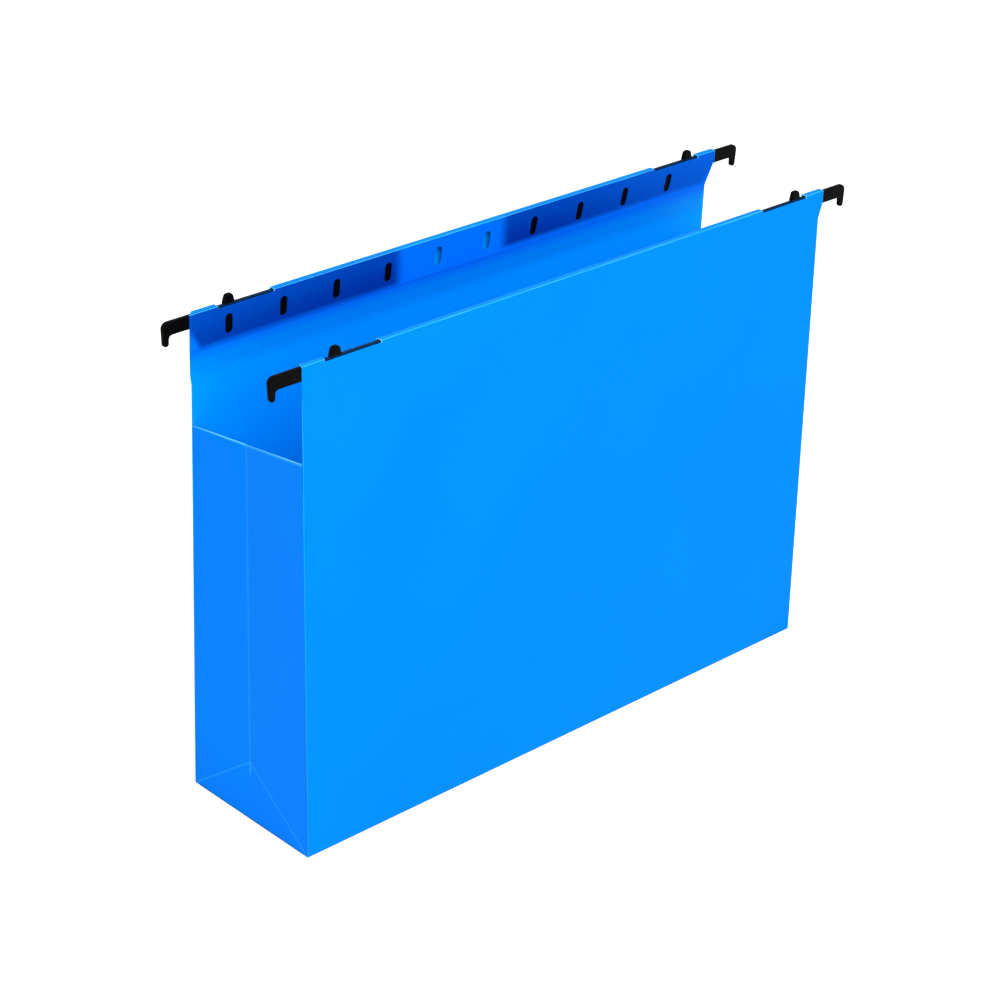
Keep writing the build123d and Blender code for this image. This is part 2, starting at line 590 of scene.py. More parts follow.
@dataclass(frozen=True)
class CutEdgeFinish:
    """Die-cut edge of the sheet, a little paler than its faces."""

    colour: Colour = (0.02, 0.34, 1.0)
    faded: Colour = (0.0, 0.26, 1.0)
    sheen: Colour = (0.0, 0.45, 1.0)
    gloss: float = 0.05
    roughness: float = 0.5
    chatter: Mottle = Mottle(1.7, 3.0)
    patch: Mottle = Mottle(0.05, 1.0)
    middle_tone: float = 0.6
    chatter_tone: float = 0.6
    patch_tone: float = 1.2
    chatter_rough: float = 0.15
    chatter_depth: float = 0.02

    def make(self, name: str) -> Finish:
        """Makes the material.

        Args:
            name: Name of the material.

        Returns:
            The material.
        """
        board = Board.for_material(name)
        place = board.place()
        chatter, patch = board.noise(place, self.chatter), board.noise(place, self.patch)
        tone = chatter * self.chatter_tone + patch * self.patch_tone + self.middle_tone
        colour = board.blend(tone.least(1.0).most(0.0), self.faded, self.colour)
        rough = chatter * self.chatter_rough + self.roughness
        return board.plastic(colour, rough, self.gloss, board.bump(chatter, self.chatter_depth), self.sheen)


@dataclass(frozen=True)
class FoldFinish(CutEdgeFinish):
    """Outside of a tight fold, where the stretched sheet is shinier, and paler partly by its whitening and
    partly by a painted highlight.
    """

    colour: Colour = (0.06, 0.44, 1.0)
    faded: Colour = (0.0, 0.29, 1.0)
    sheen: Colour = (0.2, 0.65, 1.0)
    gloss: float = 0.12
    roughness: float = 0.36


@dataclass(frozen=True)
class BrightEdgeFinish(CutEdgeFinish):
    """Cut edge that catches the light: gusset tops and hem ends."""

    colour: Colour = (0.22, 0.72, 1.0)
    faded: Colour = (0.08, 0.52, 1.0)
    sheen: Colour = (0.5, 0.85, 1.0)


@dataclass(frozen=True)
class FootShadeFinish(CutEdgeFinish):
    """Fold and edges at the foot: a dull finish, painted darker as the shade under the fold."""

    colour: Colour = (0.0, 0.17, 0.66)
    faded: Colour = (0.0, 0.12, 0.5)
    gloss: float = 0.02


@dataclass(frozen=True)
class RunnerFinish:
    """Moulded black plastic with a fine satin texture, rubbed in patches, and a painted bluish highlight
    along its top.
    """

    colour: Colour = (0.0016, 0.0016, 0.0018)
    rubbed: Colour = (0.0045, 0.0045, 0.0048)
    top_highlight: Colour = (0.003, 0.02, 0.055)
    gloss: float = 0.025
    roughness: float = 0.5
    spark: Mottle = Mottle(3.2, 2.0)
    flow: Mottle = Mottle(0.25, 3.0, (0.15, 1.0, 1.0))
    rub: Mottle = Mottle(0.6, 4.0, (0.3, 1.0, 1.0))
    rub_edge: Pair = (0.08, 0.22)
    # Painted highlight: a bluish band along the top of the plate.
    highlight_foot: float = 231.9
    highlight_top: float = 233.0
    highlight_soft: float = 0.3
    highlight_end: float = 152.0
    highlight_end_soft: float = 2.0
    highlight_level: float = 0.9
    highlight_flow: float = 0.5
    spark_rough: float = 0.12
    flow_rough: float = 0.15
    flow_height: float = 0.5
    texture_depth: float = 0.012

    def make(self, name: str) -> Finish:
        """Makes the material.

        Args:
            name: Name of the material.

        Returns:
            The material.
        """
        board = Board.for_material(name)
        place = board.place()
        spark, flow = board.noise(place, self.spark), board.noise(place, self.flow)
        rub = board.noise(place, self.rub).rise(*self.rub_edge)
        x, _, z = board.axes(place)
        # Painted highlight along the plate's top, where the light from above catches it, fading out at the
        # ends.
        band = z.rise(self.highlight_foot, self.highlight_foot + self.highlight_soft)
        band = band * (1.0 - z.rise(self.highlight_top - self.highlight_soft, self.highlight_top))
        within = 1.0 - abs(x).rise(self.highlight_end - self.highlight_end_soft, self.highlight_end)
        highlight = band * within * (flow * self.highlight_flow + self.highlight_level)
        colour = board.blend(highlight, board.blend(rub, self.colour, self.rubbed), self.top_highlight)
        rough = spark * self.spark_rough + flow * self.flow_rough + self.roughness
        normal = board.bump(spark + flow * self.flow_height, self.texture_depth)
        return board.plastic(colour, rough, self.gloss, normal)


class FoldPath:
    """Middle line of a folded sheet's section: straight runs joined by bends."""

    BEND_STEPS = 6
    REACH = 1e-6

    def __init__(self, corners: Sequence[Pair], radii: Sequence[float]) -> None:
        """Lays out the runs and bends.

        Args:
            corners: Points of the section before the corners are rounded.
            radii: Middle radius of the bend at each inner corner.
        """
        points = [Vector(corner) for corner in corners]
        ways = [(b - a).normalized() for a, b in zip(points, points[1:])]
        self.runs: list[tuple[float, float, Vector, Vector]] = []
        self.bends: list[tuple[float, float, Vector, float, float, float]] = []
        along, start = 0.0, points[0]
        for index, way in enumerate(ways):
            last = index == len(ways) - 1
            turn = 0.0 if last else math.atan2(way.cross(ways[index + 1]), way.dot(ways[index + 1]))
            radius = 0.0 if last else radii[index]
            trim = radius * math.tan(abs(turn) / 2)
            stop = points[index + 1] - way * trim
            length = (stop - start).length
            self.runs.append((along, along + length, start, way))
            along += length
            if last:
                break
            hand = math.copysign(1.0, turn)
            centre = stop + Vector((-way.y, way.x)) * radius * hand
            angle = math.atan2(stop.y - centre.y, stop.x - centre.x)
            arc_length = radius * abs(turn)
            self.bends.append((along, along + arc_length, centre, radius, angle, hand))
            along += arc_length
            start = points[index + 1] + ways[index + 1] * trim
        self.length = along

    def locate(self, along: float, outward: float) -> Pair:
        """A point of the folded section.

        Args:
            along: Distance along the flat sheet.
            outward: Distance from the middle of the sheet towards the outside of the folder.

        Returns:
            Distance from the folder's middle plane, and height.
        """
        for low, high, centre, radius, angle, hand in self.bends:
            if low < along < high:
                turned = angle + hand * (along - low) / radius
                spoke = Vector((math.cos(turned), math.sin(turned)))
                point = centre + spoke * (radius + hand * outward)
                return point.x, point.y
        reached = [run for run in self.runs if run[0] <= along + self.REACH]
        low, _, start, way = reached[-1] if reached else self.runs[0]
        point = start + way * (along - low) + Vector((way.y, -way.x)) * outward
        return point.x, point.y

    def along_run(self, run: int, point: Pair) -> float:
        """Distance along the flat sheet of a point beside one of the straight runs."""
        low, _, start, way = self.runs[run]
        return low + (Vector(point) - start).dot(way)

    def stations(self) -> list[float]:
        """Places to divide the sheet so that its bends come out round."""
        steps = range(self.BEND_STEPS + 1)
        return [low + (high - low) * step / self.BEND_STEPS for low, high, *_ in self.bends for step in steps]


def add_object(name: str, data: bpy.types.ID) -> Piece:
    """Adds an object to the scene.

    Args:
        name: Its name.
        data: Its mesh, light or camera.

    Returns:
        The object.
    """
    made = bpy.data.objects.new(name, data)
    bpy.context.scene.collection.objects.link(made)
    return made


@dataclass
class CutLoop:
    """A die-cut line with the sheet on its left.

    The square edges aren't rounded, and the plain edges keep the finish of the sheet's faces.
    """

    points: Sequence[Pair]
    square: Edges = frozenset()
    plain: Edges = frozenset()
    skin: Skin = Skin.CUT_EDGE


@dataclass
class Blank:
    """A flat die-cut blank with slightly rounded cut edges, which a placer folds into position."""

    outline: CutLoop
    holes: Sequence[CutLoop] = ()
    thickness: float = SIZES.sheet
    rim: float = 0.12
    cuts: Sequence[float] = ()
    bands: Sequence[tuple[float, float, Skin]] = ()

    RIM_STEPS = 3
    PARALLEL = 1e-3
    CUT_REACH = 1e-5
    WELD_REACH = 1e-7

    @classmethod
    def _inset(cls, loop: Sequence[Pair], amounts: Sequence[float]) -> list[Pair]:
        """Moves each edge of a loop into the sheet.

        Args:
            loop: Points with the sheet on the left.
            amounts: Distance for the edge after each point.

        Returns:
            The moved points.
        """
        moved = []
        count = len(loop)
        for index in range(count):
            point = Vector(loop[index])
            before = (point - Vector(loop[index - 1])).normalized()
            after = (Vector(loop[(index + 1) % count]) - point).normalized()
            first, second = Vector((-before.y, before.x)), Vector((-after.y, after.x))
            near, far = amounts[index - 1], amounts[index]
            cross = first.cross(second)
            if abs(cross) < cls.PARALLEL:
                shift = (first + second).normalized() * (near + far) / 2
            else:
                shift = Vector((near * second.y - far * first.y, far * first.x - near * second.x)) / cross
            moved.append((point.x + shift.x, point.y + shift.y))
        return moved

    def _rings(self) -> list[Pair]:
        """Lays out the rings of points round each cut edge.

        Returns:
            Inset and depth of each ring, from one face to the other.
        """
        half = self.thickness / 2
        turns = [math.pi / 2 * step / (self.RIM_STEPS - 1) for step in range(self.RIM_STEPS)]
        rounding = [(self.rim * (1 - math.sin(t)), half - self.rim * (1 - math.cos(t))) for t in turns]
        return rounding + [(inset, -depth) for inset, depth in reversed(rounding)]

    def build(self, name: str, place: Placer, materials: Sequence[Finish]) -> Piece:
        """Cuts, divides and folds the blank.

        Args:
            name: Name of the piece.
            place: Takes a point of the flat blank, with its height from the middle, to the frame.
            materials: Finishes in the order of the skins.

        Returns:
            The piece.
        """
        mesh = bmesh.new()
        rings = self._rings()
        face_edges: tuple[list, list] = ([], [])
        for loop in (self.outline, *self.holes):
            count = len(loop.points)
            levels = []
            for inset, depth in rings:
                amounts = [0.0 if index in loop.square else inset for index in range(count)]
                points = self._inset(loop.points, amounts)
                levels.append([mesh.verts.new((a, b, depth)) for a, b in points])
            for upper, lower in zip(levels, levels[1:]):
                for index in range(count):
                    after = (index + 1) % count
                    wall = mesh.faces.new((upper[index], lower[index], lower[after], upper[after]))
                    wall.material_index = Skin.FACE.value if index in loop.plain else loop.skin.value
                    wall.smooth = True
            for edges, level in zip(face_edges, (levels[0], levels[-1])):
                edges.extend(mesh.edges.get((a, b)) for a, b in zip(level, level[1:] + level[:1]))
        for edges in face_edges:
            bmesh.ops.triangle_fill(mesh, use_beauty=True, edges=edges)
        for along in self.cuts:
            everything = mesh.verts[:] + mesh.edges[:] + mesh.faces[:]
            plane = {"plane_co": (0.0, along, 0.0), "plane_no": (0.0, 1.0, 0.0)}
            bmesh.ops.bisect_plane(mesh, geom=everything, dist=self.CUT_REACH, **plane)
        for face in mesh.faces:
            middle = face.calc_center_median().y
            for low, high, skin in self.bands:
                if low < middle < high:
                    face.smooth = True
                    if face.material_index == Skin.FACE.value:
                        face.material_index = skin.value
        for vertex in mesh.verts:
            vertex.co = place(*vertex.co)
        bmesh.ops.remove_doubles(mesh, verts=mesh.verts, dist=self.WELD_REACH)
        bmesh.ops.recalc_face_normals(mesh, faces=mesh.faces)
        data = bpy.data.meshes.new(name)
        mesh.to_mesh(data)
        mesh.free()
        for material in materials:
            data.materials.append(material)
        return add_object(name, data)


def settle(piece: Piece, body: str, slot: str, *nodes: str) -> Piece:
    """Puts a piece on its body in place of its CAD nodes.

    Args:
        piece: The piece.
        body: CAD body that it rides on.
        slot: The record's material slot for its finish; not used.
        nodes: CAD nodes that it stands for.

    Returns:
        The piece.
    """
    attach(piece, body)
    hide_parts(*nodes)
    LOG.info("%s rides on %s with %d faces", piece.name, body, len(piece.data.polygons))
    return piece


def arc(centre: Pair, radius: float, start: float, stop: float, steps: int) -> list[Pair]:
    """Points along an arc, with its angles in degrees."""
    angles = [math.radians(start + (stop - start) * step / steps) for step in range(steps + 1)]
    return [(centre[0] + radius * math.cos(angle), centre[1] + radius * math.sin(angle)) for angle in angles]


def rounded(corners: Sequence[Pair], radii: Sequence[float], steps: int = 6) -> list[Pair]:
    """Rounds the corners of a loop.

    Args:
        corners: Points of the loop.
        radii: Radius at each corner, 0 to leave it sharp.
        steps: Divisions of each arc.

    Returns:
        The points of the rounded loop.
    """
    points: list[Pair] = []
    count = len(corners)
    for index, radius in enumerate(radii):
        corner = Vector(corners[index])
        if radius <= 0:
            points.append((corner.x, corner.y))
            continue
        back = (Vector(corners[index - 1]) - corner).normalized()
        ahead = (Vector(corners[(index + 1) % count]) - corner).normalized()
        half = back.angle(ahead) / 2
        centre = corner + (back + ahead).normalized() * radius / math.sin(half)
        first = corner + back * radius / math.tan(half) - centre
        second = corner + ahead * radius / math.tan(half) - centre
        sweep = math.atan2(first.cross(second), first.dot(second))
        start = math.degrees(math.atan2(first.y, first.x))
        points += arc((centre.x, centre.y), radius, start, start + math.degrees(sweep), steps)
    return points


@dataclass
class Runner:
    """A moulded runner: a plate in the hem, a neck and hook past its end and a nub on top."""

    side: Side
    hand: Hand
    top: float = 232.6
    face: float = 0.7
    thickness: float = 2.0
    edge: float = 0.35
    hook_end: float = 174.2
    tip_width: float = 3.4
    tip_taper: float = 0.7
    tip_radius: float = 1.3
    tip_drop: float = 4.8
    corner_radius: float = 2.9
    throat_radius: float = 1.8
    neck: float = 6.2
    plate_height: float = 16.0
    plate_outer: float = 156.7
    plate_inner: float = 33.7
    plate_slope: float = 6.0
    plate_radius: float = 2.0
    nub_middle: float = 139.2
    nub_foot: float = 5.6
    nub_crown: float = 3.6
    nub_radius: float = 1.7
    nub_height: float = 3.6
    nub_thickness: float = 2.3
    nub_root: float = 2.0
    nub_edge: float = 0.45

    @property
    def name(self) -> str:
        """Name of the piece, which is its CAD node's."""
        return f"runner_{self.side.label}_{self.hand.label}"

    def place(self, along: float, up: float, outward: float) -> Vector:
        """Takes a point of the plate, with its height from the middle of the moulding, to the frame."""
        away, level = SIZES.section(self.face + self.thickness / 2 - outward, up)
        return Vector((along * self.hand.value, away * self.side.value, level)) * MM

    def build(self, finish: Finish) -> Piece:
        """Builds the moulding.

        Args:
            finish: Its material.

        Returns:
            The piece.
        """
        under, plate_foot = self.top - self.neck, self.top - self.plate_height
        foot = under - self.tip_drop
        crown = SIZES.panel_height + self.nub_height
        corners = [
            (self.plate_inner, self.top),
            (self.plate_inner, plate_foot),
            (self.plate_outer - self.plate_slope, plate_foot),
            (self.plate_outer, under),
            (self.hook_end - self.tip_width, under),
            (self.hook_end - self.tip_width, foot),
            (self.hook_end - self.tip_taper, foot),
            (self.hook_end, self.top),
        ]
        radii = [self.plate_radius] * 4 + [self.throat_radius, self.tip_radius, self.tip_radius]
        radii.append(self.corner_radius)
        plate = Blank(CutLoop(rounded(corners, radii)), thickness=self.thickness, rim=self.edge)
        half_foot, half_crown = self.nub_foot / 2, self.nub_crown / 2
        nub_corners = [
            (self.nub_middle - half_foot, self.top - self.nub_root),
            (self.nub_middle + half_foot, self.top - self.nub_root),
            (self.nub_middle + half_foot, SIZES.panel_height),
            (self.nub_middle + half_crown, crown),
            (self.nub_middle - half_crown, crown),
            (self.nub_middle - half_foot, SIZES.panel_height),
        ]
        nub_radii = [0.0, 0.0, 0.0, self.nub_radius, self.nub_radius, 0.0]
        nub_loop = CutLoop(rounded(nub_corners, nub_radii))
        nub = Blank(nub_loop, thickness=self.nub_thickness, rim=self.nub_edge)
        piece = plate.build(self.name, self.place, [finish, finish])
        thumb = nub.build(f"{self.name}_nub", self.place, [finish, finish])
        join = bpy.context.temp_override(active_object=piece, selected_editable_objects=[piece, thumb])
        with join:
            bpy.ops.object.join()
        return settle(piece, self.name, "runner_black", self.name)


@dataclass(frozen=True)
class Contact:
    """Where a runner's plate lies against the flap.

    The painted shade starts at the inner end, fades by the lift, a painted lightening, towards the outer end,
    and spreads past it.
    The plate's foot stays clear of the flap by a small height.
    """

    inner: float
    lift: float
    spread: float = 0.0
    clear: float = 0.0


@dataclass
class ShowThrough:
    """Painted shade on a hem's flap, deepest over the runners behind it, and painted light in its slots."""

    runners: Sequence[tuple[Runner, Piece, Contact]]
    # Painted shade of the runners seen through the flap.
    dark: Colour = (0.0, 0.19, 0.35)
    # Painted shade over the whole flap, which hangs in front of the hollow hem.
    flap: Colour = (1.0, 0.79, 0.94)
    # Painted light on the panel inside the hem, seen through the slots.
    inside: Colour = (1.0, 1.25, 1.0)
    flap_skin: Pair = (0.5, 0.1)
    dark_skin: Pair = (0.9, 0.6)
    inside_rise: float = 2.0
    # The painted runner shade is darker towards the bottom of the plate.
    top_fade: float = 0.2
    lift_start: float = 12.0
    soft: float = 2.0
    end_soft: float = 4.0

    def tint(self, board: Board, axes: Axes, colour: Wire) -> Wire:
        """Paints shade on the flap, deepest over the runners, and paints light on the inside of the hem that
        its slots show.

        Args:
            board: Board to add nodes to.
            axes: Coordinates of the point in millimetres.
            colour: Colour so far.

        Returns:
            The new colour.
        """
        depth = panel_depth(axes)
        flap = depth.rise(*(SIZES.hem_depth - skin for skin in self.flap_skin))
        colour = board.blend(flap, colour, self.flap, "MULTIPLY")
        inside = INNER_LIGHT_PAINT.mask(axes) * axes[2].rise(SIZES.flap_bend, SIZES.flap_bend + self.inside_rise)
        colour = board.blend(inside, colour, self.inside, "MULTIPLY")
        shade: Value = 0.0
        # Painted shade over each runner's plate, soft at its edges and moving with the runner, lightened
        # towards the outer end by painted light.
        for runner, piece, contact in self.runners:
            x, _, z = board.axes(board.place(piece))
            along = x * float(runner.hand.value)
            under, foot = runner.top - runner.neck, runner.top - runner.plate_height + contact.clear
            slope = Vector((under - foot, runner.plate_slope)).normalized()
            end = runner.plate_outer + contact.spread
            outer = (end - along) * slope.x + (z - under) * slope.y
            plate = (z - foot).least(outer).most((z - under).least(along - runner.plate_inner))
            inner = (along - contact.inner).rise(-self.end_soft, self.end_soft)
            part = plate.rise(-self.soft, self.soft) * inner
            part = part * (1.0 - z.rise(foot + self.soft, runner.top) * self.top_fade)
            lift = along.rise(contact.inner + self.lift_start, runner.plate_outer) * contact.lift
            shade = part * (1.0 - lift) + shade
        shade = shade * depth.rise(*(SIZES.hem_depth - skin for skin in self.dark_skin))
        return board.blend(shade, colour, self.dark, "MULTIPLY")


@dataclass
class FoldedSide:
    """A panel with its turned foot, and the hem that is folded over the runners at its top.

    The trims are those of a hem's left end: at the flap's foot, at its bend and at the strip.
    """

    side: Side
    split: float = 219.0
    foot_radius: float = 0.4
    top_radius: float = 0.4
    seam_radius: float = 7.0
    weld_radius: float = 32.0
    bend_lift: float = 0.1
    weld_top: float = 203.5
    weld_step: float = 0.05
    flap_foot: float = 199.0
    rear_trims: Triple = (0.0, -3.0, -3.0)
    front_trims: Triple = (5.9, 5.9, 0.8)
    window_outer: float = 145.7
    window_length: float = 30.0
    near_sill: float = 1.3
    far_sill: float = 1.5
    slot_pitch: float = 29.5
    slot_shift: float = -7.2
    slot_count: int = 10
    slot_drop: float = 9.3
    slot_length: float = 9.0
    slot_width: float = 4.0
    slot_steps: int = 10
    rear_slot_lean: float = 13.0

    @property
    def trims(self) -> Triple:
        """Trims of this side's hem."""
        return self.rear_trims if self.side is Side.REAR else self.front_trims

    @property
    def sills(self) -> Pair:
        """Drop of a window's edge in the panel and in the flap."""
        drops = (self.far_sill, self.near_sill)
        return drops if self.side is Side.REAR else drops[::-1]

    def slot_lean(self, index: int) -> float:
        """Angle of a slot, which grows towards the right end of the rear hem."""
        lean = self.rear_slot_lean if self.side is Side.REAR else 0.0
        return math.radians(lean * index / (self.slot_count - 1))

    def _placer(self, path: FoldPath) -> Placer:
        """Makes the placer that folds a blank.

        Args:
            path: Path to fold it along.

        Returns:
            The placer.
        """

        def place(across: float, along: float, outward: float) -> Vector:
            """Folds one point."""
            away, level = path.locate(along, outward)
            return Vector((across, away * self.side.value, level)) * MM

        return place

    def build_panel(self, materials: Sequence[Finish]) -> None:
        """Builds the panel from its lip up to the hem.

        Args:
            materials: Finishes of the faces, of the cut edges and of the folds.
        """
        half = SIZES.sheet / 2
        top = SIZES.section(half, self.split)
        path = FoldPath([(SIZES.lip_end, half), SIZES.section_at(half, half), top], [self.foot_radius])
        left, right = -SIZES.hem_half, SIZES.body_edge
        outline = [(left, 0.0), (right, 0.0), (right, path.length), (left, path.length)]
        under_hem = frozenset({2})
        bands = [(low, high, Skin.FOLD) for low, high, *_ in path.bends]
        blank = Blank(CutLoop(outline, under_hem), cuts=path.stations(), bands=bands)
        node = f"{self.side.label}_panel"
        settle(blank.build(node, self._placer(path), materials), self.side.body, "sheet_blue", node)

    def _windows(self, path: FoldPath) -> list[CutLoop]:
        """Cuts of the windows in the strip.

        Args:
            path: Path that the hem is folded along.

        Returns:
            The two cuts.
        """
        half, height = SIZES.sheet / 2, SIZES.panel_height
        panel_sill, flap_sill = self.sills
        low = path.along_run(0, SIZES.section(half, height - panel_sill))
        high = path.along_run(2, SIZES.section(SIZES.hem_depth - half, height - flap_sill))
        ends = (self.window_outer - self.window_length, self.window_outer)
        across_strip = frozenset({1, 3})
        cuts = []
        for hand in Hand:
            left, right = sorted(hand.value * end for end in ends)
            loop = [(left, low), (left, high), (right, high), (right, low)]
            cuts.append(CutLoop(loop, plain=across_strip))
        return cuts

    def _slots(self, path: FoldPath) -> list[CutLoop]:
        """Cuts of the slots for index tabs in the flap.

        Args:
            path: Path that the hem is folded along.

        Returns:
            The cuts, from left to right.
        """
        inward = SIZES.hem_depth - SIZES.sheet / 2
        middle = path.along_run(2, SIZES.section(inward, SIZES.panel_height - self.slot_drop))
        radius, reach = self.slot_width / 2, (self.slot_length - self.slot_width) / 2
        cuts = []
        for index in range(self.slot_count):
            across = (index - (self.slot_count - 1) / 2) * self.slot_pitch + self.slot_shift
            lean = self.slot_lean(index)
            shift = Vector((-math.sin(lean), math.cos(lean))) * reach
            tilt = math.degrees(lean)
            upper, lower = (across + shift.x, middle + shift.y), (across - shift.x, middle - shift.y)
            loop = arc(upper, radius, 180.0 + tilt, tilt, self.slot_steps)
            loop += arc(lower, radius, tilt, tilt - 180.0, self.slot_steps)
            cuts.append(CutLoop(loop, skin=Skin.FACE))
        return cuts

    def build_hem(self, materials: Sequence[Finish]) -> None:
        """Builds the hem: top of the panel, strip with windows, slotted flap and welded foot.

        Args:
            materials: Finishes of the faces, of the cut edges and of the folds.
        """
        half, depth, height = SIZES.sheet / 2, SIZES.hem_depth, SIZES.panel_height
        corners = [
            SIZES.section(half, self.split),
            SIZES.section(half, height - half),
            SIZES.section(depth - half, height - half),
            SIZES.section(depth - half, SIZES.flap_bend + self.bend_lift),
            SIZES.section(half + self.weld_step, self.weld_top),
            SIZES.section(half + self.weld_step, self.flap_foot),
        ]
        path = FoldPath(corners, [self.top_radius, self.top_radius, self.seam_radius, self.weld_radius])
        shoulder = height - SIZES.shoulder_square
        flap_square = path.along_run(2, SIZES.section(depth - half, height - SIZES.flap_square))
        flap_bend = path.along_run(2, SIZES.section(depth - half, SIZES.flap_bend))
        flap_edge = SIZES.hem_half - SIZES.flap_taper
        (_, strip_rear, *_), (strip_front, *_) = path.bends[:2]
        foot_end, bend_end, front_end = (trim - SIZES.hem_half for trim in self.trims)
        outline = [
            (SIZES.body_edge, 0.0),
            (SIZES.body_edge, path.along_run(0, SIZES.section(half, shoulder - SIZES.shoulder_slope))),
            (SIZES.hem_half, path.along_run(0, SIZES.section(half, shoulder))),
            (SIZES.hem_half, flap_square),
            (flap_edge, flap_bend),
            (flap_edge, path.length),
            (foot_end, path.length),
            (bend_end, flap_bend),
            (front_end, strip_front),
            (-SIZES.hem_half, strip_rear),
            (-SIZES.hem_half, 0.0),
        ]
        over_panel, shaded = frozenset({10}), frozenset({3, 4, 5, 6, 7, 9})
        thirds = [(low, high, (high - low) / 3) for low, high, *_ in path.bends[:2]]
        bands = [(low + third, high - third, Skin.FOLD) for low, high, third in thirds]
        bands += [(low, high, Skin.FACE) for low, high, *_ in path.bends]
        holes = self._windows(path) + self._slots(path)
        blank = Blank(CutLoop(outline, over_panel, shaded), holes, cuts=path.stations(), bands=bands)
        label = self.side.label
        piece = blank.build(f"{label}_hem", self._placer(path), materials)
        nodes = [f"{label}_hem_{part}" for part in ("strip", "flap", "seam")]
        settle(piece, self.side.body, "sheet_blue", *nodes)


@dataclass
class BoxBottom:
    """One half of the base, which is creased along its middle."""

    side: Side
    clearance: float = 0.02

    def place(self, across: float, away: float, outward: float) -> Vector:
        """Takes a point of the flat base to the frame, with the outer face on the floor."""
        return Vector((SIZES.body_middle + across, away * self.side.value, SIZES.sheet / 2 - outward)) * MM

    def build(self, materials: Sequence[Finish]) -> None:
        """Builds this side's half of the base.

        Args:
            materials: Finishes of the faces and of the cut edges.
        """
        near, far, width = self.clearance, SIZES.lip_end - self.clearance, SIZES.body_half
        outline = [(-width, near), (width, near), (width, far), (-width, far)]
        blank = Blank(CutLoop(outline), thickness=SIZES.sheet - 2 * self.clearance)
        body = f"base_{self.side.label}"
        node = f"{body}_half"
        settle(blank.build(node, self.place, materials), body, "sheet_blue", node)


@dataclass
class GussetCorner:
    """One quarter of the side gussets: a half, the corner web at its foot and its bonded flange."""

    side: Side
    hand: Hand
    edge_gap: float = 0.03
    middle_gap: float = 0.01
    foot: float = 0.6
    web_corner: float = 36.85

    @property
    def corner(self) -> str:
        """End of the names of this corner's CAD nodes."""
        return f"{self.side.label}_{self.hand.label}"

    @property
    def edge_top(self) -> float:
        """Height of the gusset at the panel's edge."""
        return SIZES.gusset_rear_top if self.side is Side.REAR else SIZES.gusset_front_top

    def seam_level(self, away: float) -> float:
        """Height of the line between the gusset half and the web."""
        corner, level = SIZES.section_at(2 * SIZES.sheet + SIZES.crease_gap, SIZES.sheet + SIZES.web_foot)
        return SIZES.web_apex + (level - SIZES.web_apex) * away / corner

    def place(self, away: float, level: float, outward: float) -> Vector:
        """Takes a point of the flat gusset to the frame."""
        depth = SIZES.body_half - SIZES.sheet / 2 + outward
        return Vector((SIZES.body_middle + depth * self.hand.value, away * self.side.value, level)) * MM

    def place_flange(self, across: float, up: float, outward: float) -> Vector:
        """Takes a point of the flat flange to the inside of the panel."""
        away, level = SIZES.section(SIZES.sheet + SIZES.sheet / 2 - outward, up)
        return Vector((SIZES.body_middle + across * self.hand.value, away * self.side.value, level)) * MM

    def build(self, materials: Sequence[Finish]) -> None:
        """Builds the half, the web and the flange.

        Args:
            materials: Finishes of the faces, of the cut edges and of the folds.
        """
        edge = 2 * SIZES.sheet + self.edge_gap
        middle_top = (SIZES.gusset_rear_top + SIZES.gusset_front_top) / 2
        web_top = self.seam_level(self.web_corner)
        seam_end = (self.middle_gap, self.seam_level(self.middle_gap))
        half = [
            SIZES.section_at(edge, self.foot),
            SIZES.section_at(edge, self.edge_top),
            (self.middle_gap, middle_top),
            seam_end,
            (self.web_corner, web_top),
            (self.web_corner, self.foot),
        ]
        web = [
            (self.web_corner, self.foot),
            (self.web_corner, web_top),
            seam_end,
            (self.middle_gap, self.foot),
        ]
        outer, inner = SIZES.body_half, SIZES.body_half - SIZES.flange_width
        low = SIZES.sheet + SIZES.crease_gap
        high = (self.edge_top - SIZES.flange_drop) / math.cos(SIZES.lean)
        flange = [(inner, low), (outer, low), (outer, high), (inner, high)]
        joined, seamed = frozenset({2, 3, 4, 5}), frozenset({0, 1, 2})
        for part, body, place, loop in (
            ("gusset", f"gusset_{self.corner}", self.place, CutLoop(half, joined, joined | {0})),
            ("corner_web", f"web_{self.corner}", self.place, CutLoop(web, seamed, seamed, Skin.FOLD)),
            ("gusset_flange", self.side.body, self.place_flange, CutLoop(flange, skin=Skin.FACE)),
        ):
            name = f"{part}_{self.corner}"
            settle(Blank(loop).build(name, place, materials), body, "sheet_blue", name)


@dataclass(frozen=True)
class SoftLight:
    """A square soft light, with its places and side in metres and its power in watts."""

    name: str
    place: Triple
    target: Triple
    size: float
    power: float

    def build(self) -> None:
        """Adds the light, turned to its target."""
        data = bpy.data.lights.new(self.name, "AREA")
        data.shape, data.size, data.energy = "SQUARE", self.size, self.power
        lamp = add_object(self.name, data)
        lamp.location = self.place
        lamp.rotation_mode = "QUATERNION"
        lamp.rotation_quaternion = (Vector(self.target) - Vector(self.place)).to_track_quat("-Z", "Y")


